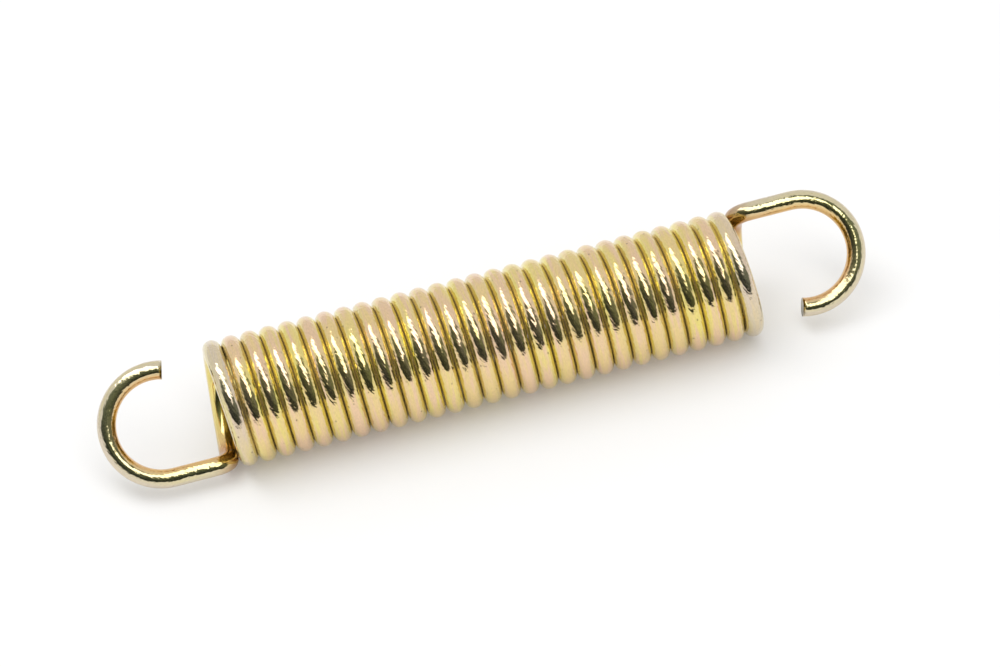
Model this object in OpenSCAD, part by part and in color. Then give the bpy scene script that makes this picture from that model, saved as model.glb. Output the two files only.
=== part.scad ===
// Close-wound extension spring of round wire, with an open side hook at each end.
// The spring's axis runs along X, and the spring lies on its side on the plane z = 0.

/* [Wire] */
// Wire diameter
wire_d = 3.2; // [2:0.1:4]

/* [Coil] */
// Outside diameter of the coil
coil_od = 22; // [20:0.5:32]
// Whole turns, to which the coil adds a half, so that the hooks open opposite ways
full_turns = 28; // [8:1:40]
// Least gap left between neighbouring turns
turn_gap = 0.02; // [0.02:0.01:0.5]

/* [Hooks] */
// Inside diameter of a hook
hook_id = 15; // [10:0.5:24]
// Angle that a hook's arc turns through, from its leg to its cut end
hook_sweep = 195; // [150:1:230]
// Straight length of a hook's leg
leg_l = 7.2; // [2:0.2:30]
// Angle short of the hook plane at which the wire leaves the coil for the bend
stop_short = 14.3; // [12:0.1:25]

/* [Rest] */
// Angle by which the plane of the hooks leans back from upright
lean_back = 43; // [0:1:90]

/* [Hidden] */
$fn = 48;
// Radius of the coil's centre line
mean_r = (coil_od - wire_d) / 2;
// Distance from turn to turn, up to the next hundredth
turn_space = wire_d + turn_gap;
pitch = ceil(100 * turn_space / cos(asin(turn_space / mean_r / 4))) / 100;
// Each half turn is a plane arc tilted to the axis, and it meets the next one tangentially
tilt = atan(pitch / 4 / mean_r);
arc_r = mean_r / cos(tilt);
// The bend's angle and radius bring the wire into the hook plane
bend_angle = acos(sin(stop_short) * sin(tilt));
bend_r = arc_r * tan(stop_short) / tan(bend_angle / 2);
// Radius of a hook's centre line
hook_r = (hook_id + wire_d) / 2;
// Ways round the wire in which the bend and the hook set out, measured from the outside of the coil
bend_toward = -90 + atan(tan(tilt) * cos(stop_short));
hook_toward = bend_toward + atan(tan(stop_short) * cos(tilt)) - 90;
// At each joint beyond the coil the two lengths of wire stop this far short of each other's middle,
// inside a bead that stands out from the wire by bead_h
inset = 0.05;
bead_h = 0.005;
bead_d = wire_d + 2 * bead_h;
// Reach of the coil and of the hooks below the axis, with the spring rolled to its lean
leg_z = mean_r / cos(stop_short);
coil_reach = norm([mean_r * cos(lean_back), arc_r * sin(lean_back)]);
hook_reach = max(leg_z, 2 * hook_r - leg_z) * cos(lean_back);
// Height of the axis at which the lowest part touches z = 0
axis_z = max(coil_reach, hook_reach) + wire_d / 2;

// Straight length of wire along the Z axis, with what follows placed on its end
module straight_wire(l) {
    translate([0, 0, inset]) cylinder(d = wire_d, h = l - 2 * inset);
    translate([0, 0, l]) children();
}

// Arc of wire that sets out along the Z axis and bends toward an angle about it, with what follows
// placed on its end. The lengths cut_start and cut_end are left off the wire, but not off the way.
module bent_wire(r, sweep, toward, cut_start = 0, cut_end = 0) {
    cut = [cut_start, cut_end] / r * 180 / PI;
    rotate([0, 0, toward])
        translate([r, 0, 0]) {
            rotate([-90, 0, 0])
                rotate_extrude(angle = sweep - cut[0] - cut[1], start = 180 + cut[0])
                    translate([r, 0]) circle(d = wire_d);
            rotate([0, sweep, 0]) translate([-r, 0, 0]) rotate([0, 0, -toward]) children();
        }
}

// Half turn of the coil about the X axis, from the bottom through the far side towards the top
module half_turn(short = 0, cut_end = 0)
    rotate([0, tilt, 0])
        rotate([0, 90, 90])
            translate([arc_r, 0, 0]) bent_wire(arc_r, 180 - short, 180, 0, cut_end) children();

// Last half turn at the right, and the bend, the leg and the hook that follow it
module hook_end()
    half_turn(stop_short, inset) {
        sphere(d = bead_d);
        bent_wire(bend_r, bend_angle, bend_toward, inset, inset) {
            sphere(d = bead_d);
            straight_wire(leg_l) {
                sphere(d = bead_d);
                bent_wire(hook_r, hook_sweep, hook_toward, inset);
            }
        }
    }

// Whole spring about the X axis, with its hooks in the XZ plane
module upright_spring() {
    for (k = [1 - full_turns : full_turns - 1])
        translate([k * pitch / 2, 0, 0])
            rotate([180 * (k + full_turns), 0, 0]) half_turn();
    for (end = [0, 180])
        rotate([0, end, 0])
            translate([full_turns * pitch / 2, 0, 0]) hook_end();
}

module spring_wire()
    color("#d8c588")
        translate([0, 0, axis_z])
            rotate([-lean_back, 0, 0]) upright_spring();

spring_wire();
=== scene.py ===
"""Looks of a close-wound extension spring of plated round wire, with a side hook at each end.

The spring is one length of wire. Its surface is swept here as one closed tube that stands for the
CAD node, and it carries the marks of the wire: where along the wire and where around it each point
is. Sizes are in millimetres up to the mesh, which is in metres.
"""

from __future__ import annotations

import logging
import math
from dataclasses import dataclass

import bpy
import numpy as np
from mathutils import Matrix, Vector


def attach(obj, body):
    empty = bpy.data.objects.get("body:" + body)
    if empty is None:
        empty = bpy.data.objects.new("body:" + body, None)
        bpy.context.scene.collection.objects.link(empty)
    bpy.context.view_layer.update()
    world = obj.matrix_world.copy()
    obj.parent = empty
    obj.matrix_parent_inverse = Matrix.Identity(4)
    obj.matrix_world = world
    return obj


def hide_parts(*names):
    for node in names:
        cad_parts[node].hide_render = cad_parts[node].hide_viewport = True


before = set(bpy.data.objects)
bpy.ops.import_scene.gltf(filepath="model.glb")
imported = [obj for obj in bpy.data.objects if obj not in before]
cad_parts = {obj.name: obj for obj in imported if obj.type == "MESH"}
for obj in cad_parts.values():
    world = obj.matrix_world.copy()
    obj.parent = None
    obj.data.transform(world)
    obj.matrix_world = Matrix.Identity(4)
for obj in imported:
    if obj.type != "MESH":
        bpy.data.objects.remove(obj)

MM = 0.001
CAD_NODE = "spring_wire"
BODY = "root"

Colour = tuple[float, float, float, float]
Sizes = tuple[float, float, float]
Socket = bpy.types.NodeSocket

log = logging.getLogger("spring")


def turned_back(points: np.ndarray, degrees: float) -> np.ndarray:
    """Turn points about the X axis so that what was upright leans back.

    Args:
        points: Points or directions, one a row.
        degrees: Angle of the lean.

    Returns:
        The turned rows: y and z are mixed by the cosine and sine of the lean.
    """
    c, s = math.cos(math.radians(degrees)), math.sin(math.radians(degrees))
    return points @ np.array([[1, 0, 0], [0, c, -s], [0, s, c]])


def smooth_step(t: np.ndarray) -> np.ndarray:
    """Return 0 below t = 0, 1 above t = 1, and a smooth rise between them."""
    t = np.clip(t, 0.0, 1.0)
    return t * t * (3.0 - 2.0 * t)


def unit(rows: np.ndarray) -> np.ndarray:
    """Return each row scaled to length 1."""
    return rows / np.linalg.norm(rows, axis=1, keepdims=True)


@dataclass
class WirePath:
    """Centre line of the wire, from the cut end of the left hook to that of the right one."""

    wire_d: float = 3.2
    coil_od: float = 22.0
    full_turns: int = 28
    pitch: float = 3.24
    hook_id: float = 15.0
    hook_sweep: float = 195.0
    leg_l: float = 7.2
    stop_short: float = 14.3
    lean_back: float = 43.0
    axis_z: float = 11.0162
    # Width of the bell curve that eases one form into the next, and its reach in widths
    ease: float = 0.45
    bell_reach: int = 3
    # Distance between samples of the path before it is divided into rings
    sample: float = 0.05
    # Rings lie up to 1 + crowding times closer, from where the wire bends crowd_from times as
    # sharply as in the coil
    crowding: float = 3.0
    crowd_from: float = 1.2

    @property
    def mean_r(self) -> float:
        """Radius of the coil's centre line."""
        return (self.coil_od - self.wire_d) / 2

    @property
    def length(self) -> float:
        """Length of the wire from cut to cut, which is the same at any spacing of its rings."""
        return float(self.rings(self.wire_d)[2][-1])

    @property
    def run_on(self) -> float:
        """Length by which the path runs on past each cut, further than the bell curve reaches."""
        return (self.bell_reach + 1) * self.ease

    def _coil(self, turn: np.ndarray) -> tuple[np.ndarray, np.ndarray]:
        """Place points on the right half of the coil.

        A point is at the mean radius, at the angle turn from the far side towards the top, and a
        pitch further along X for each full turn. The last half turn is a plane arc that is tilted
        to the axis, and the helix eases into it over the turn before.

        Args:
            turn: Angles from the middle of the coil, in radians.

        Returns:
            The points, and the directions away from the axis.
        """
        tilt = math.atan(self.pitch / 4 / self.mean_r)
        last = math.pi * (self.full_turns - 0.5)
        ease = smooth_step((turn - last) / (2 * math.pi) + 1)
        inside = np.mod(turn + math.pi / 2, math.pi) - math.pi / 2
        plane = self.pitch / 4 * np.sin(inside) - self.pitch * inside / (2 * math.pi)
        wide = self.mean_r * (1 + ease * (1 / math.cos(tilt) - 1))
        outward = np.stack([0 * turn, np.cos(turn), np.sin(turn)], axis=1)
        place = np.stack(
            [
                self.pitch * turn / (2 * math.pi) + ease * plane,
                wide * np.cos(turn),
                self.mean_r * np.sin(turn),
            ],
            axis=1,
        )
        return place, outward

    @staticmethod
    def _arc(
        start: np.ndarray, along: np.ndarray, toward: np.ndarray, r: float, angle: np.ndarray
    ) -> np.ndarray:
        """Place points on a circular arc.

        Args:
            start: First point.
            along: Direction in which the arc sets out.
            toward: Direction from the start to the arc's centre.
            r: Radius.
            angle: Angles turned through, in radians.

        Returns:
            start + r * sin(angle) * along + r * (1 - cos(angle)) * toward.
        """
        return start + r * (np.outer(np.sin(angle), along) + np.outer(1 - np.cos(angle), toward))

    def _right_half(self) -> tuple[np.ndarray, np.ndarray]:
        """Return points and outward directions from the coil's middle to past the right cut end."""
        tilt = math.atan(self.pitch / 4 / self.mean_r)
        short = math.radians(self.stop_short)
        turn_end = math.pi * (self.full_turns + 0.5) - short
        coil, coil_out = self._coil(np.arange(0, turn_end, self.sample / self.mean_r))
        end, end_out = self._coil(np.array([turn_end]))
        set_out = np.array(
            [math.sin(short) * math.sin(tilt), -math.cos(short), math.sin(short) * math.cos(tilt)]
        )
        x_axis = np.array([1.0, 0.0, 0.0])
        bend = math.acos(set_out @ x_axis)
        toward = (x_axis - math.cos(bend) * set_out) / math.sin(bend)
        bend_r = self.mean_r / math.cos(tilt) * math.tan(short) / math.tan(bend / 2)
        hook_r = (self.hook_id + self.wire_d) / 2
        down = np.array([0.0, 0.0, -1.0])
        turned = np.arange(0, bend, self.sample / bend_r)
        bent = self._arc(end[0], set_out, toward, bend_r, turned)
        leg_start = self._arc(end[0], set_out, toward, bend_r, np.array([bend]))[0]
        leg = leg_start + np.outer(np.arange(0, self.leg_l, self.sample), x_axis)
        swept = math.radians(self.hook_sweep) + self.run_on / hook_r
        sweep = np.arange(0, swept, self.sample / hook_r)
        hook = self._arc(leg_start + self.leg_l * x_axis, x_axis, down, hook_r, sweep)
        share = (turned / bend)[:, None]
        bent_out = (1 - share) * end_out - share * down
        hook_out = np.outer(np.sin(sweep), x_axis) - np.outer(np.cos(sweep), down)
        leg_out = np.tile(-down, (len(leg), 1))
        return (
            np.concatenate([coil, bent, leg, hook]),
            np.concatenate([coil_out, bent_out, leg_out, hook_out]),
        )

    def rings(self, spacing: float) -> tuple[np.ndarray, np.ndarray, np.ndarray]:
        """Divide the eased centre line into rings.

        The half turn about the Y axis takes the right half into the left one. The whole line is
        averaged with a bell curve of width ease, cut at the ends of the hooks, and divided so that
        rings lie closer where the wire bends more sharply than in the coil.

        Args:
            spacing: Distance from ring to ring in the coil.

        Returns:
            The rings' centres, their outward directions, and how far along the wire each lies.
        """
        place, outward = self._right_half()
        other_way = np.array([-1.0, 1.0, -1.0])
        place = np.concatenate([(place * other_way)[:0:-1], place])
        outward = np.concatenate([(outward * other_way)[:0:-1], outward])
        step = np.linalg.norm(np.diff(place, axis=0), axis=1)
        along = np.concatenate([[0], np.cumsum(step)])
        even = np.arange(0, along[-1], self.sample)
        half = int(self.bell_reach * self.ease / self.sample)
        bell = np.exp(-0.5 * (np.arange(-half, half + 1) * self.sample / self.ease) ** 2)
        bell /= bell.sum()
        mean = [np.convolve(np.interp(even, along, c), bell, "valid") for c in place.T]
        line = np.stack(mean, axis=1)
        out = np.stack([np.interp(even[half:-half], along, c) for c in outward.T], axis=1)
        cut = self.run_on - half * self.sample
        length = np.arange(len(line)) * self.sample
        keep = (length >= cut) & (length <= length[-1] - cut)
        line, out, length = line[keep], out[keep], length[keep] - length[keep][0]
        ahead = unit(np.gradient(line, axis=0))
        bend = np.linalg.norm(np.gradient(ahead, self.sample, axis=0), axis=1)
        crowd = 1 + self.crowding * np.clip(bend * self.mean_r - self.crowd_from, 0, 1)
        count = np.concatenate([[0], np.cumsum((crowd[1:] + crowd[:-1]) / 2) * self.sample])
        rings = int(round(count[-1] / spacing))
        at = np.interp(np.linspace(0, count[-1], rings), count, length)
        line = np.stack([np.interp(at, length, c) for c in line.T], axis=1)
        out = np.stack([np.interp(at, length, c) for c in out.T], axis=1)
        return self.laid(line), turned_back(out, self.lean_back), at

    def laid(self, points: np.ndarray) -> np.ndarray:
        """Return points of the upright spring as they lie on the floor."""
        return turned_back(points, self.lean_back) + np.array([0.0, 0.0, self.axis_z])


@dataclass(frozen=True)
class WireCut:
    """Form of the cut at each end of the wire, from its rim to its middle.

    The shear rolls the wire's edge over on one side, leaves it sharp on the other, and tears the
    middle, which stands a little out.
    """

    # Distances from the middle as shares of the wire's radius, and heights above the cut's plane
    radii: tuple[float, ...] = (0.985, 0.93, 0.80, 0.55, 0.28)
    heights: tuple[float, ...] = (-0.07, -0.02, 0.0, 0.02, 0.03)
    middle_height: float = 0.02
    # Depth of the rolled edge at the rim, and the power of the radius with which it fades inwards
    roll_over: float = 0.10
    roll_power: int = 6


@dataclass
class SpringWire:
    """The spring's one piece: its path, the tube around it, and the cut ends."""

    path: WirePath
    cut: WireCut
    around: int = 32
    spacing: float = 0.62
    name: str = "wire"
    # The unrolled wire lies in this many rows of the map, with a gap between rows, and it leaves
    # this share of the last row to the cut ends, whose middles and size are shares of the map
    map_rows: int = 13
    map_gap: float = 0.04
    map_spare: float = 0.12
    cut_middles: tuple[float, float] = (0.915, 0.965)
    cut_size: float = 0.022

    def build(self, plated: bpy.types.Material, bare: bpy.types.Material) -> bpy.types.Object:
        """Make the wire's object with its marks, map and finishes.

        Args:
            plated: Finish of the wire.
            bare: Finish of the cut ends.

        Returns:
            The object, riding on the spring's body in place of the CAD node.
        """
        line, out, at = self.path.rings(self.spacing)
        points, marks = self._skin(line, out, at)
        faces, cuts = self._faces(len(points))
        mesh = bpy.data.meshes.new(self.name)
        mesh.from_pydata(points * MM, [], faces)
        mesh.polygons.foreach_set("use_smooth", np.ones(len(faces), dtype=bool))
        mesh.polygons.foreach_set("material_index", cuts.astype(np.int32))
        unrolled = mesh.attributes.new("unrolled", "FLOAT_VECTOR", "POINT")
        unrolled.data.foreach_set("vector", (marks * MM).astype(np.float32).ravel())
        self._map(mesh, faces, at)
        mesh.materials.append(plated)
        mesh.materials.append(bare)
        mesh.update()
        wire = bpy.data.objects.new(self.name, mesh)
        bpy.context.scene.collection.objects.link(wire)
        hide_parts(CAD_NODE)
        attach(wire, BODY)
        log.info("%s: %d rings, %d faces, %.0f mm of wire", self.name, len(at), len(faces), at[-1])
        return wire

    def _skin(
        self, line: np.ndarray, out: np.ndarray, at: np.ndarray
    ) -> tuple[np.ndarray, np.ndarray]:
        """Place the tube's points, ring by ring, with the two cuts' rings and middles.

        A point is its ring's centre, plus the radius times the cosine of its angle along the
        outward direction and the sine of it along the direction at right angles to that and to
        the wire.

        Args:
            line: Centres of the rings.
            out: Outward directions.
            at: How far along the wire each ring lies.

        Returns:
            The points, and for each its place on the straightened wire: along, out and across.
        """
        ahead = unit(np.gradient(line, axis=0))
        out = unit(out - np.sum(out * ahead, axis=1, keepdims=True) * ahead)
        r = self.path.wire_d / 2
        radii, heights = np.array(self.cut.radii), np.array(self.cut.heights)
        n = len(radii)
        row = np.concatenate([np.zeros(n), np.arange(len(line)), np.full(n, len(line) - 1)])
        row = row.astype(int)
        k = np.concatenate([radii[::-1], np.ones(len(line)), radii]) * r
        lift = np.concatenate([-heights[::-1], np.zeros(len(line)), heights])
        angle = np.arange(self.around) * 2 * math.pi / self.around
        in_cut = np.concatenate([np.ones(n), np.zeros(len(line)), np.ones(n)])
        near_rim = in_cut * (k / r) ** self.cut.roll_power
        rolled = self.cut.roll_over * np.outer(near_rim, 1 + np.cos(angle)) / 2
        lift = lift[:, None] - np.sign(row - 1)[:, None] * rolled
        middle, ahead, out = line[row], ahead[row], out[row]
        side = np.cross(ahead, out)
        turned = out[:, None, :] * np.cos(angle)[None, :, None]
        turned = turned + side[:, None, :] * np.sin(angle)[None, :, None]
        points = middle[:, None, :] + k[:, None, None] * turned
        points = points + lift[:, :, None] * ahead[:, None, :]
        along = at[row][:, None] + lift
        marks = np.stack([along, np.outer(k, np.cos(angle)), np.outer(k, np.sin(angle))], axis=2)
        up = self.cut.middle_height
        poles = np.stack([middle[0] - up * ahead[0], middle[-1] + up * ahead[-1]])
        pole_marks = np.array([[at[0] - up, 0, 0], [at[-1] + up, 0, 0]])
        return (
            np.concatenate([points.reshape(-1, 3), poles]),
            np.concatenate([marks.reshape(-1, 3), pole_marks]),
        )

    def _faces(self, points: int) -> tuple[list[list[int]], np.ndarray]:
        """Join the rings into faces that look outwards.

        Args:
            points: Number of points, the two middles among them.

        Returns:
            The faces, and for each whether it belongs to a cut.
        """
        m = self.around
        rings = (points - 2) // m
        ring = np.arange(rings - 1)[:, None] * m
        here, following = np.arange(m), np.roll(np.arange(m), -1)
        quads = np.stack(
            [ring + here, ring + following, ring + m + following, ring + m + here], axis=2
        )
        first, last = points - 2, points - 1
        top = (rings - 1) * m
        start = np.stack([following, here, np.full(m, first)], axis=1)
        end = np.stack([top + here, top + following, np.full(m, last)], axis=1)
        n = len(self.cut.radii)
        cut_row = (np.arange(rings - 1) < n) | (np.arange(rings - 1) >= rings - 1 - n)
        cuts = np.concatenate([np.repeat(cut_row, m), np.ones(2 * m, dtype=bool)])
        return quads.reshape(-1, 4).tolist() + start.tolist() + end.tolist(), cuts

    def _map(self, mesh: bpy.types.Mesh, faces: list[list[int]], at: np.ndarray) -> None:
        """Lay the unrolled wire out in rows of one square map.

        Each row holds an equal length of wire, from the left edge to the right one, and the way
        round the wire runs up the row. The cut ends lie in the last row, past the wire's end.

        Args:
            mesh: The wire's mesh.
            faces: Its faces; not used.
            at: How far along the wire each ring lies.
        """
        m, n = self.around, len(self.cut.radii)
        quads = (len(at) + 2 * n - 1) * m
        ring = np.clip(np.arange(quads) // m - n, 0, len(at) - 2)
        column = np.arange(quads) % m
        row_l = at[-1] / (self.map_rows - self.map_spare)
        row = np.floor((at[ring] + at[ring + 1]) / 2 / row_l)
        corner_at = np.stack([at[ring], at[ring], at[ring + 1], at[ring + 1]], axis=1)
        u = np.clip((corner_at - row[:, None] * row_l) / row_l, 0, 1)
        corner_up = np.stack([column, column + 1, column + 1, column], axis=1) / m
        v = (row[:, None] + self.map_gap / 2 + (1 - self.map_gap) * corner_up) / self.map_rows
        quad_map = np.stack([u, v], axis=2)
        faces_of_cut = np.arange(quads) // m
        in_cut = (faces_of_cut < n) | (faces_of_cut >= len(at) - 1 + n)
        radii = np.concatenate([np.array(self.cut.radii)[::-1], np.ones(len(at)), self.cut.radii])
        near, far = radii[faces_of_cut], radii[faces_of_cut + 1]
        reach = np.stack([near, near, far, far], axis=1)
        spin = corner_up * 2 * math.pi
        centre_u = np.where(faces_of_cut < n, *self.cut_middles)[:, None]
        centre_v = (self.map_rows - 0.5) / self.map_rows
        size = self.cut_size
        cut_map = np.stack(
            [centre_u + size * reach * np.cos(spin), centre_v + size * reach * np.sin(spin)], axis=2
        )
        quad_map[in_cut] = cut_map[in_cut]
        turn = np.arange(m) / m * 2 * math.pi
        rim = np.stack([np.cos(turn), np.sin(turn)], axis=1) * size * self.cut.radii[-1]
        next_rim = np.roll(rim, -1, axis=0)
        middle = np.zeros_like(rim)
        first = np.stack([next_rim, rim, middle], axis=1) + [self.cut_middles[0], centre_v]
        last = np.stack([rim, next_rim, middle], axis=1) + [self.cut_middles[1], centre_v]
        corners = np.concatenate([part.reshape(-1, 2) for part in (quad_map, first, last)])
        layer = mesh.uv_layers.new(name="OFBake")
        layer.uv.foreach_set("vector", corners.astype(np.float32).ravel())


@dataclass(frozen=True)
class Ramp:
    """Smooth change from one value to another between two limits."""

    low: float
    high: float
    start: float = 0.0
    end: float = 1.0


class Graph:
    """Builder for the nodes of one material, group or world."""

    def __init__(self, tree: bpy.types.NodeTree) -> None:
        """Keep the tree that the nodes go into."""
        self.tree = tree

    def add(self, kind: str, inputs: dict | None = None, **settings: object) -> bpy.types.Node:
        """Add a node.

        Args:
            kind: The node's type, without its ShaderNode prefix.
            inputs: For each input's name or number, a socket to link or a plain value.
            settings: The node's own settings.

        Returns:
            The node.
        """
        node = self.tree.nodes.new("ShaderNode" + kind)
        for key, value in settings.items():
            setattr(node, key, value)
        for key, value in (inputs or {}).items():
            if isinstance(value, Socket):
                self.tree.links.new(value, node.inputs[key])
            else:
                node.inputs[key].default_value = value
        return node

    def calc(self, operation: str, *values: Socket | float) -> Socket:
        """Return the result of a sum on sockets or numbers."""
        return self.add("Math", dict(enumerate(values)), operation=operation).outputs[0]

    def swayed(self, value: Socket, pattern: Socket, share: float) -> Socket:
        """Return value + share * (pattern - 0.5)."""
        return self.calc("MULTIPLY_ADD", self.calc("SUBTRACT", pattern, 0.5), share, value)

    def ramp(self, value: Socket, ramp: Ramp) -> Socket:
        """Return what the ramp makes of the value."""
        limits = {0: value, 1: ramp.low, 2: ramp.high, 3: ramp.start, 4: ramp.end}
        return self.add("MapRange", limits, interpolation_type="SMOOTHSTEP").outputs[0]

    def blend(self, share: Socket, first: Socket | Colour, second: Socket | Colour) -> Socket:
        """Return the colour that lies a share of the way from the first to the second."""
        sockets = {0: share, 6: first, 7: second}
        return self.add("Mix", sockets, data_type="RGBA").outputs[2]

    def stretched(self, place: Socket, sizes: Sizes) -> Socket:
        """Return a place divided by the sizes in millimetres, axis by axis."""
        scale = tuple(1 / (MM * size) for size in sizes)
        return self.add("VectorMath", {0: place, 1: scale}, operation="MULTIPLY").outputs[0]


@dataclass(frozen=True)
class Pattern:
    """Cloudy pattern, with its size along, out from and across the wire in millimetres."""

    size: Sizes
    detail: float = 2.0
    roughness: float = 0.5

    def at(self, graph: Graph, place: Socket) -> Socket:
        """Add the pattern's nodes.

        Args:
            graph: The nodes to add to.
            place: A place on the straightened wire.

        Returns:
            The pattern's value there, from 0 to 1.
        """
        inputs = {
            "Vector": graph.stretched(place, self.size),
            "Scale": 1.0,
            "Detail": self.detail,
            "Roughness": self.roughness,
        }
        return graph.add("TexNoise", inputs).outputs[0]


def rgb(red: float, green: float, blue: float) -> Colour:
    """Turn a display colour into a linear one by the sRGB formula.

    Args:
        red: Its red, from 0 to 255.
        green: Its green.
        blue: Its blue.

    Returns:
        The linear colour, from 0 to 1, with a full alpha.
    """
    values = np.array([red, green, blue]) / 255
    linear = np.where(values <= 0.04045, values / 12.92, ((values + 0.055) / 1.055) ** 2.4)
    return (*(float(v) for v in linear), 1.0)


def new_material(name: str) -> tuple[bpy.types.Material, Graph]:
    """Make an empty material.

    Args:
        name: Its name.

    Returns:
        The material and the builder of its nodes.
    """
    material = bpy.data.materials.new(name)
    material.use_nodes = True
    material.node_tree.nodes.clear()
    return material, Graph(material.node_tree)


@dataclass(frozen=True)
class DrawnMarks:
    """Marks in drawn and coiled wire, which both of its finishes share.

    Fine lines run along the wire, rubbed strokes at a slant to it and short dents across it, and
    slow waves lie under them. The slants are angles in degrees.
    """

    name: str = "drawn_marks"
    lines: Pattern = Pattern((5.0, 0.10, 0.10), 2.0)
    strokes: Pattern = Pattern((1.8, 0.45, 0.45), 1.0)
    stroke_slant: float = -24.0
    dents: Pattern = Pattern((0.45, 1.0, 1.0), 2.0)
    dent_slant: float = 35.0
    waves: Pattern = Pattern((5.0, 3.0, 3.0), 1.0)

    def group(self) -> bpy.types.NodeTree:
        """Make the group that gives the height of the marks.

        Returns:
            The group, with a place on the wire and the shares of the four marks as its inputs.
        """
        group = bpy.data.node_groups.new(self.name, "ShaderNodeTree")
        group.interface.new_socket(name="Place", in_out="INPUT", socket_type="NodeSocketVector")
        for name in ("Lines", "Strokes", "Dents", "Waves"):
            group.interface.new_socket(name=name, in_out="INPUT", socket_type="NodeSocketFloat")
        group.interface.new_socket(name="Height", in_out="OUTPUT", socket_type="NodeSocketFloat")
        graph = Graph(group)
        inputs = group.nodes.new("NodeGroupInput").outputs
        place = inputs["Place"]
        total = graph.calc("MULTIPLY", self.lines.at(graph, place), inputs["Lines"])
        strokes = self.strokes.at(graph, self._slanted(graph, place, self.stroke_slant))
        dents = self.dents.at(graph, self._slanted(graph, place, self.dent_slant))
        waves = self.waves.at(graph, place)
        for mark, share in ((strokes, "Strokes"), (dents, "Dents"), (waves, "Waves")):
            total = graph.swayed(total, mark, inputs[share])
        outputs = group.nodes.new("NodeGroupOutput")
        group.links.new(total, outputs.inputs["Height"])
        return group

    @staticmethod
    def _slanted(graph: Graph, place: Socket, slant: float) -> Socket:
        """Return the place turned by the slant."""
        inputs = {"Vector": place, "Angle": math.radians(slant)}
        return graph.add("VectorRotate", inputs, rotation_type="Y_AXIS").outputs[0]


@dataclass(frozen=True)
class WireValues:
    """Values along and around the wire that the plating's looks follow.

    Attributes:
        place: Where the point is on the straightened wire.
        from_end: Distance from the nearer cut end, in metres.
        out: From -1 on the side of the coil's axis to 1 on the side away from it.
        hook: 0 on the coil and 1 on the hooks.
        clear: 0 where a turn touches the next one, up to 1 away from it and on the hooks.
        cloud: Slow pattern.
        streak: Pattern of long streaks.
        specks: 1 in a speck.
    """

    place: Socket
    from_end: Socket
    out: Socket
    hook: Socket
    clear: Socket
    cloud: Socket
    streak: Socket
    specks: Socket


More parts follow.
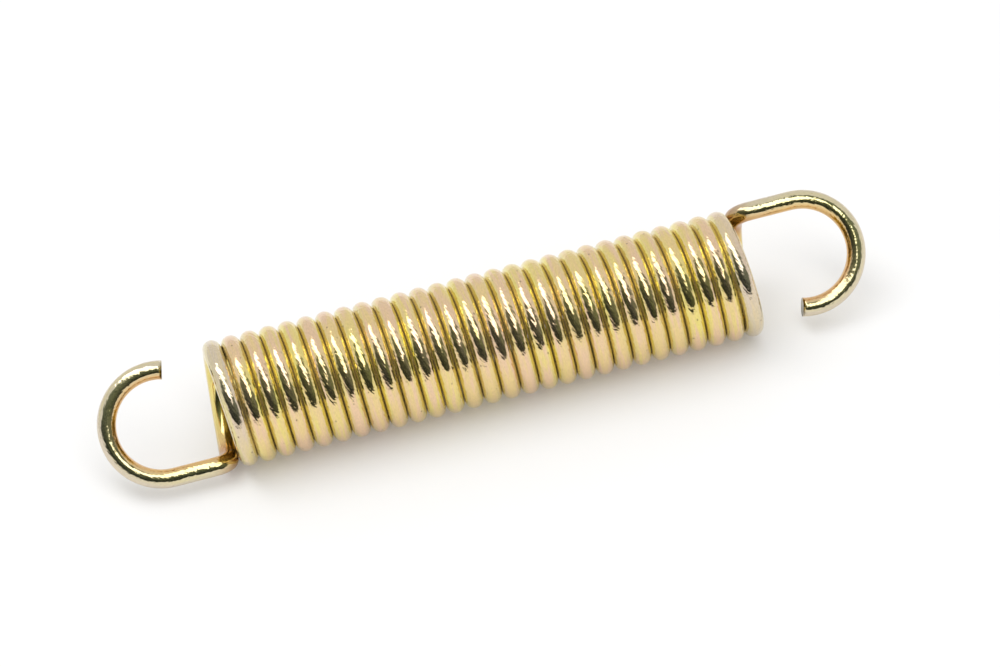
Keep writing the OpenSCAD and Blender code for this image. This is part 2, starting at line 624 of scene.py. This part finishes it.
@dataclass(frozen=True)
class PlatedFinish:
    """Drawn steel wire under glossy yellow-passivated zinc, which shimmers from hue to hue."""

    name: str = "yellow_zinc"
    wire_r: float = 1.6
    # Length of wire in a hook, and over which the hook's look fades into the coil's
    hook_l: float = 42.0
    hook_fade: float = 12.0
    # Hues of the coil's crests and flanks, of its grooves, and of its inside and the hooks'
    peach: Colour = rgb(239, 212, 152)
    pink: Colour = rgb(239, 206, 170)
    lemon: Colour = rgb(241, 225, 132)
    green_gold: Colour = rgb(226, 209, 142)
    groove: Colour = rgb(247, 230, 188)
    gold: Colour = rgb(250, 230, 138)
    orange: Colour = rgb(228, 160, 104)
    # Thin film at the ends, painted shade around the bends where the hooks leave the coil, and dirt
    silver: Colour = rgb(218, 208, 190)
    root_shade: Colour = rgb(162, 94, 40)
    dust: Colour = rgb(90, 82, 60)
    speck: Colour = rgb(104, 88, 70)
    # Patterns, of which one changes about four times a turn
    cloud: Pattern = Pattern((16.0, 3.5, 3.5), 3.0)
    streak: Pattern = Pattern((9.0, 0.7, 0.7), 3.0, 0.6)
    by_turn: Pattern = Pattern((14.7875, 30.0, 30.0), 2.0)
    fine: Pattern = Pattern((0.5, 0.16, 0.16), 3.0, 0.7)
    speck_size: Sizes = (2.4, 2.0, 2.0)
    # How far the streaks shift the blush, and the clouds and streaks the crest's edge
    blush_streak: float = 0.7
    crest_cloud: float = 0.9
    crest_streak: float = 1.0
    # Share of pink by blush, of green by cloud, of the crest by out and of the groove by clear
    pink_share: Ramp = Ramp(0.42, 0.60)
    green_share: Ramp = Ramp(0.38, 0.62)
    crest_share: Ramp = Ramp(0.55, 1.0)
    groove_share: Ramp = Ramp(0.65, 0.1, 0.0, 0.85)
    # Share of the inside's hue, and of silver on the hooks, by out
    inner_share: Ramp = Ramp(0.0, -0.8, 0.0, 0.6)
    hook_silver: Ramp = Ramp(-0.85, -0.35, 0.1, 0.38)
    # Share of silver on the end turns, by the distance past the hook, by out and by streak
    end_turns: Ramp = Ramp(76.0, 34.0)
    end_out: Ramp = Ramp(-0.1, 0.7)
    end_streak: Ramp = Ramp(0.25, 0.6, 0.35, 0.75)
    # Share of the painted shade by the distance from the bend
    root_shade_share: Ramp = Ramp(5.0, 1.0, 0.0, 0.6)
    # What the fine pattern leaves free of dust, where a speck is, and how much it covers
    dust_free: Ramp = Ramp(0.25, 0.7, 0.82, 1.0)
    speck_at: Ramp = Ramp(0.11, 0.05)
    speck_cover: float = 0.55
    # Gloss by cloud, with what a speck adds, and the metal's share by clear
    roughness: Ramp = Ramp(0.3, 0.7, 0.07, 0.14)
    speck_roughness: float = 0.2
    metallic: Ramp = Ramp(0.1, 0.75, 0.74, 0.985)
    # Depth of the marks, their shares, and how rubbed the coil is by out, and the hooks are
    marks_depth: float = 0.05
    lines: float = 0.1
    strokes: float = 1.6
    dents: float = 0.9
    waves: float = 2.8
    coil_rubbed: Ramp = Ramp(0.2, 0.85)
    hook_rubbed: float = 0.6

    def material(self, marks: bpy.types.NodeTree, wire_l: float) -> bpy.types.Material:
        """Make the finish.

        Args:
            marks: The group of the wire's drawing marks.
            wire_l: Length of the wire.

        Returns:
            The material.
        """
        material, graph = new_material(self.name)
        wire = self._values(graph, wire_l)
        colour = self._coil_colour(graph, wire)
        colour = self._end_colour(graph, wire, colour)
        colour = self._dirty(graph, wire, colour)
        gloss = graph.ramp(wire.cloud, self.roughness)
        dull = graph.calc("MULTIPLY", wire.specks, self.speck_roughness)
        inputs = {
            "Base Color": colour,
            "Metallic": graph.ramp(wire.clear, self.metallic),
            "Roughness": graph.calc("ADD", gloss, dull),
            "Normal": self._relief(graph, wire, marks),
        }
        shader = graph.add("BsdfPrincipled", inputs)
        graph.add("OutputMaterial", {"Surface": shader.outputs[0]})
        return material

    def _values(self, graph: Graph, wire_l: float) -> WireValues:
        """Add the nodes that find the values along and around the wire.

        Args:
            graph: The material's nodes.
            wire_l: Length of the wire.

        Returns:
            The values.
        """
        place = graph.add("Attribute", attribute_name="unrolled").outputs["Vector"]
        parts = graph.add("SeparateXYZ", {0: place}).outputs
        to_other_end = graph.calc("SUBTRACT", wire_l * MM, parts[0])
        from_end = graph.calc("MINIMUM", parts[0], to_other_end)
        out = graph.calc("DIVIDE", parts[1], self.wire_r * MM)
        fade = Ramp((self.hook_l + self.hook_fade) * MM, self.hook_l * MM)
        hook = graph.ramp(from_end, fade)
        spots = {"Vector": graph.stretched(place, self.speck_size), "Scale": 1.0}
        spots = graph.add("TexVoronoi", spots).outputs["Distance"]
        return WireValues(
            place=place,
            from_end=from_end,
            out=out,
            hook=hook,
            clear=graph.calc("MAXIMUM", graph.calc("ABSOLUTE", out), hook),
            cloud=self.cloud.at(graph, place),
            streak=self.streak.at(graph, place),
            specks=graph.ramp(spots, self.speck_at),
        )

    def _coil_colour(self, graph: Graph, wire: WireValues) -> Socket:
        """Colour the coil's crests, flanks and grooves.

        Args:
            graph: The material's nodes.
            wire: The values along and around the wire.

        Returns:
            The colour.
        """
        by_turn = self.by_turn.at(graph, wire.place)
        blush = graph.swayed(by_turn, wire.streak, self.blush_streak)
        crest = graph.blend(graph.ramp(blush, self.pink_share), self.peach, self.pink)
        flank = graph.blend(graph.ramp(wire.cloud, self.green_share), self.lemon, self.green_gold)
        edge = graph.swayed(wire.out, wire.cloud, self.crest_cloud)
        edge = graph.swayed(edge, wire.streak, self.crest_streak)
        colour = graph.blend(graph.ramp(edge, self.crest_share), flank, crest)
        return graph.blend(graph.ramp(wire.clear, self.groove_share), colour, self.groove)

    def _end_colour(self, graph: Graph, wire: WireValues, colour: Socket) -> Socket:
        """Lay the hues of the inside, the hooks and the end turns, and painted shade at the bends,
        over a colour.

        Args:
            graph: The material's nodes.
            wire: The values along and around the wire.
            colour: The coil's colour.

        Returns:
            The colour with those hues.
        """
        inner = graph.blend(wire.hook, self.gold, self.orange)
        colour = graph.blend(graph.ramp(wire.out, self.inner_share), colour, inner)
        grey = graph.calc("MULTIPLY", wire.hook, graph.ramp(wire.out, self.hook_silver))
        colour = graph.blend(grey, colour, self.silver)
        far, near = self.hook_l + self.end_turns.low, self.hook_l + self.end_turns.high
        ends = graph.ramp(wire.from_end, Ramp(far * MM, near * MM))
        ends = graph.calc("MULTIPLY", ends, graph.ramp(wire.out, self.end_out))
        ends = graph.calc("MULTIPLY", ends, graph.ramp(wire.streak, self.end_streak))
        colour = graph.blend(ends, colour, self.silver)
        # Painted shade: darker brown around each bend where a hook leaves the coil, standing in for
        # the shade at the hook's root
        bend = graph.calc("ABSOLUTE", graph.calc("SUBTRACT", wire.from_end, self.hook_l * MM))
        shade_ramp = self.root_shade_share
        shade_ramp = Ramp(shade_ramp.low * MM, shade_ramp.high * MM, shade_ramp.start, shade_ramp.end)
        return graph.blend(graph.ramp(bend, shade_ramp), colour, self.root_shade)

    def _dirty(self, graph: Graph, wire: WireValues, colour: Socket) -> Socket:
        """Lay fine dust and specks over a colour.

        Args:
            graph: The material's nodes.
            wire: The values along and around the wire.
            colour: The clean colour.

        Returns:
            The colour with the dirt.
        """
        free = graph.ramp(self.fine.at(graph, wire.place), self.dust_free)
        colour = graph.blend(graph.calc("SUBTRACT", 1.0, free), colour, self.dust)
        cover = graph.calc("MULTIPLY", wire.specks, self.speck_cover)
        return graph.blend(cover, colour, self.speck)

    def _relief(self, graph: Graph, wire: WireValues, marks: bpy.types.NodeTree) -> Socket:
        """Bend the normal by the marks, of which the coiling and the bending rub in some.

        Args:
            graph: The material's nodes.
            wire: The values along and around the wire.
            marks: The group of the wire's drawing marks.

        Returns:
            The normal.
        """
        on_hook = graph.calc("MULTIPLY", wire.hook, self.hook_rubbed)
        rubbed = graph.calc("MAXIMUM", graph.ramp(wire.out, self.coil_rubbed), on_hook)
        inputs = {
            "Place": wire.place,
            "Lines": self.lines,
            "Strokes": graph.calc("MULTIPLY", rubbed, self.strokes),
            "Dents": graph.calc("MULTIPLY", rubbed, self.dents),
            "Waves": self.waves,
        }
        height = graph.add("Group", inputs, node_tree=marks).outputs["Height"]
        bump = {"Strength": 1.0, "Distance": self.marks_depth * MM, "Height": height}
        return graph.add("Bump", bump).outputs[0]


@dataclass(frozen=True)
class BareFinish:
    """Sheared steel of the cut ends, with the shear's lines across it."""

    name: str = "cut_steel"
    bright: Colour = rgb(196, 194, 188)
    dull: Colour = rgb(128, 124, 116)
    torn: Pattern = Pattern((0.5, 0.5, 0.12), 4.0, 0.6)
    # Share of dull steel by the tearing, and by the height on the cut in millimetres
    dull_share: Ramp = Ramp(0.35, 0.65)
    sheared: Ramp = Ramp(-0.5, 0.3)
    roughness: Ramp = Ramp(0.3, 0.7, 0.28, 0.5)
    # Depth and strength of the marks, and their shares
    marks_depth: float = 0.06
    marks_strength: float = 0.9
    lines: float = 0.6
    strokes: float = 0.5
    dents: float = 0.9

    def material(self, marks: bpy.types.NodeTree) -> bpy.types.Material:
        """Make the finish.

        Args:
            marks: The group of the wire's drawing marks.

        Returns:
            The material.
        """
        material, graph = new_material(self.name)
        place = graph.add("Attribute", attribute_name="unrolled").outputs["Vector"]
        torn = self.torn.at(graph, place)
        parts = graph.add("SeparateXYZ", {0: place}).outputs
        sheared = graph.ramp(parts[1], Ramp(self.sheared.low * MM, self.sheared.high * MM))
        share = graph.calc("MULTIPLY", graph.ramp(torn, self.dull_share), sheared)
        shares = {"Lines": self.lines, "Strokes": self.strokes, "Dents": self.dents}
        height = graph.add("Group", {"Place": place, **shares}, node_tree=marks)
        bump = {
            "Strength": self.marks_strength,
            "Distance": self.marks_depth * MM,
            "Height": height.outputs["Height"],
        }
        inputs = {
            "Base Color": graph.blend(share, self.bright, self.dull),
            "Metallic": 1.0,
            "Roughness": graph.ramp(torn, self.roughness),
            "Normal": graph.add("Bump", bump).outputs[0],
        }
        shader = graph.add("BsdfPrincipled", inputs)
        graph.add("OutputMaterial", {"Surface": shader.outputs[0]})
        return material


@dataclass(frozen=True)
class PhotoCamera:
    """Camera at the photograph's viewing angle."""

    # Heading from straight across the spring, and roll that lifts the right end, in degrees
    heading: float = 3.96
    roll: float = 14.324
    focal: float = 162.0
    sensor: float = 36.0
    distance: float = 754.5
    # Shift of the frame, as shares of its width
    shift: tuple[float, float] = (0.0165, 0.0048)
    # Nearest and farthest distance that the camera shows, in metres
    clip: tuple[float, float] = (0.01, 20.0)

    def add(self, path: WirePath) -> None:
        """Add the camera and make it the scene's.

        The camera looks square at the plane of the hooks, but for its heading, from as far above
        the floor as that plane leans back.

        Args:
            path: The spring's path.
        """
        h, r = math.radians(self.heading), math.radians(self.roll)
        ahead = np.array([math.sin(h), math.cos(h), 0.0])
        right = np.array([math.cos(h), -math.sin(h), 0.0])
        up = np.array([0.0, 0.0, 1.0])
        axes = np.array(
            [
                right * math.cos(r) - up * math.sin(r),
                up * math.cos(r) + right * math.sin(r),
                -ahead,
            ]
        )
        axes = turned_back(axes, path.lean_back)
        place = path.laid(-ahead[None, :] * self.distance)[0]
        data = bpy.data.cameras.new("camera")
        data.lens, data.sensor_width = self.focal, self.sensor
        data.shift_x, data.shift_y = self.shift
        data.clip_start, data.clip_end = self.clip
        camera = bpy.data.objects.new("camera", data)
        bpy.context.scene.collection.objects.link(camera)
        camera.matrix_world = Matrix.LocRotScale(
            Vector(place * MM), Matrix(axes.T.tolist()).to_quaternion(), None
        )
        bpy.context.scene.camera = camera


@dataclass(frozen=True)
class Studio:
    """Pale floor, soft light from above, and the surroundings that the metal reflects.

    The surroundings are a pale tent with a dark opening at the front, where the camera stands.
    A way into them is told by its x, and by over, its angle in radians over the spring, from the
    front horizon through the zenith to the back.
    """

    # Half the floor's width, its tone, and the light that it adds where it's seen
    floor_half: float = 3.0
    floor_tone: float = 0.84
    floor_glow: float = 0.14
    # The lamp is a long strip that runs from above the left back to above the right front
    lamp_from: tuple[float, float, float] = (-0.42, 0.42, 0.80)
    lamp_to: tuple[float, float, float] = (0.31, -0.65, 0.70)
    lamp_distance: float = 0.80
    lamp_width: float = 0.38
    lamp_radiance: float = 2.4
    # Level that matt surfaces get from all round
    ambient: float = 0.66
    white: Colour = (1.0, 1.0, 1.0, 1.0)
    # Tent's tone by over
    tent: Ramp = Ramp(0.9, 2.0, 0.95, 0.87)
    # Half the opening's width in x, its middle and half its height in over, the change of its
    # middle for each unit of x, and the power that rounds its corners
    opening_half: float = 0.90
    opening_mid: float = 0.80
    opening_rise: float = 0.84
    opening_slant: float = -0.15
    opening_power: float = 2.6
    # Where the opening's edge fades, by how far out a way is
    opening_edge: Ramp = Ramp(1.15, 0.85)
    # The opening is dark low down and grey high up, by over plus this much for each unit of x
    opening_dark: Colour = (0.027, 0.034, 0.027, 1.0)
    opening_grey: Colour = (0.23, 0.27, 0.21, 1.0)
    opening_lean: float = 0.6
    opening_lift: Ramp = Ramp(0.2, 1.2)
    # Clouds in the grey, and how much of it they leave
    cloud_scale: float = 6.0
    cloud_detail: float = 3.0
    cloud_leaves: Ramp = Ramp(0.3, 0.7, 0.5, 1.0)

    def add(self) -> None:
        """Add the floor, the lamp and the world."""
        self._floor()
        self._lamp()
        self._world()

    def _floor(self) -> None:
        """Add the floor, which shows a little lighter to the camera and in the metal."""
        h = self.floor_half
        mesh = bpy.data.meshes.new("floor")
        mesh.from_pydata([(-h, -h, 0), (h, -h, 0), (h, h, 0), (-h, h, 0)], [], [(0, 1, 2, 3)])
        material, graph = new_material("floor_white")
        tone = (*(self.floor_tone,) * 3, 1.0)
        matt = graph.add("BsdfDiffuse", {"Color": tone}).outputs[0]
        glow = graph.add("Emission", {"Strength": self.floor_glow}).outputs[0]
        rays = graph.add("LightPath").outputs
        seen = graph.calc("MAXIMUM", rays["Is Camera Ray"], rays["Is Glossy Ray"])
        seen = graph.calc("MAXIMUM", seen, rays["Is Transmission Ray"])
        both = graph.add("AddShader", {0: matt, 1: glow}).outputs[0]
        shown = graph.add("MixShader", {0: seen, 1: matt, 2: both}).outputs[0]
        graph.add("OutputMaterial", {"Surface": shown})
        mesh.materials.append(material)
        floor = bpy.data.objects.new("floor", mesh)
        bpy.context.scene.collection.objects.link(floor)

    def _lamp(self) -> None:
        """Add the strip lamp, facing the spring."""
        start, end = Vector(self.lamp_from).normalized(), Vector(self.lamp_to).normalized()
        back = (start + end).normalized()
        span = start.angle(end) / 2
        data = bpy.data.lights.new("strip", "AREA")
        data.shape = "RECTANGLE"
        data.size = 2 * self.lamp_distance * math.tan(span)
        data.size_y = self.lamp_width
        data.energy = self.lamp_radiance * math.pi * data.size * data.size_y
        lamp = bpy.data.objects.new("strip", data)
        bpy.context.scene.collection.objects.link(lamp)
        along = (end - start).normalized()
        along = (along - along.dot(back) * back).normalized()
        axes = Matrix((along, back.cross(along), back)).transposed()
        turn = axes.to_quaternion()
        lamp.matrix_world = Matrix.LocRotScale(back * self.lamp_distance, turn, None)

    def _world(self) -> None:
        """Set the surroundings: white to the camera, even to matt surfaces, the tent to metal."""
        world = bpy.data.worlds.new("studio")
        bpy.context.scene.world = world
        world.use_nodes = True
        world.node_tree.nodes.clear()
        graph = Graph(world.node_tree)
        way = graph.add("TexCoord").outputs["Generated"]
        x, y, z = graph.add("SeparateXYZ", {0: way}).outputs
        over = graph.calc("ARCTAN2", z, graph.calc("MULTIPLY", y, -1.0))
        opening = graph.ramp(self._way_out(graph, x, over), self.opening_edge)
        dark = self._opening(graph, way, x, over)
        colour = graph.blend(opening, graph.ramp(over, self.tent), dark)
        rays = graph.add("LightPath").outputs
        even = (*(self.ambient,) * 3, 1.0)
        colour = graph.blend(rays["Is Diffuse Ray"], colour, even)
        seen = graph.calc("MAXIMUM", rays["Is Camera Ray"], rays["Is Transmission Ray"])
        colour = graph.blend(seen, colour, self.white)
        back = graph.add("Background", {"Color": colour}).outputs[0]
        graph.add("OutputWorld", {"Surface": back})

    def _way_out(self, graph: Graph, x: Socket, over: Socket) -> Socket:
        """Return how far out of the opening a way is, which is 1 at its edge.

        Args:
            graph: The world's nodes.
            x: The way's x.
            over: The way's angle over the spring.

        Returns:
            |x / half width| ^ power + |(over - middle) / half height| ^ power.
        """
        middle = graph.calc("MULTIPLY_ADD", x, self.opening_slant, self.opening_mid)
        wide = graph.calc("ABSOLUTE", graph.calc("DIVIDE", x, self.opening_half))
        high = graph.calc("DIVIDE", graph.calc("SUBTRACT", over, middle), self.opening_rise)
        high = graph.calc("ABSOLUTE", high)
        wide = graph.calc("POWER", wide, self.opening_power)
        return graph.calc("ADD", wide, graph.calc("POWER", high, self.opening_power))

    def _opening(self, graph: Graph, way: Socket, x: Socket, over: Socket) -> Socket:
        """Return the opening's colour.

        Args:
            graph: The world's nodes.
            way: The way into the surroundings.
            x: Its x.
            over: Its angle over the spring.

        Returns:
            A blend of the dark and the grey.
        """
        inputs = {"Vector": way, "Scale": self.cloud_scale, "Detail": self.cloud_detail}
        cloud = graph.add("TexNoise", inputs).outputs[0]
        lift = graph.calc("MULTIPLY_ADD", x, self.opening_lean, over)
        lift = graph.ramp(lift, self.opening_lift)
        lift = graph.calc("MULTIPLY", lift, graph.ramp(cloud, self.cloud_leaves))
        return graph.blend(lift, self.opening_dark, self.opening_grey)


def main() -> None:
    """Build the spring, its floor, its light and its camera, in this order."""
    logging.basicConfig(level=logging.INFO, format="%(name)s: %(message)s")
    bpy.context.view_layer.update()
    scene = bpy.context.scene
    scene.view_settings.view_transform = "Standard"
    path = WirePath()
    marks = DrawnMarks().group()
    plated = PlatedFinish().material(marks, path.length)
    SpringWire(path, WireCut()).build(plated, BareFinish().material(marks))
    Studio().add()
    PhotoCamera().add(path)


if __name__ == "__main__":
    main()
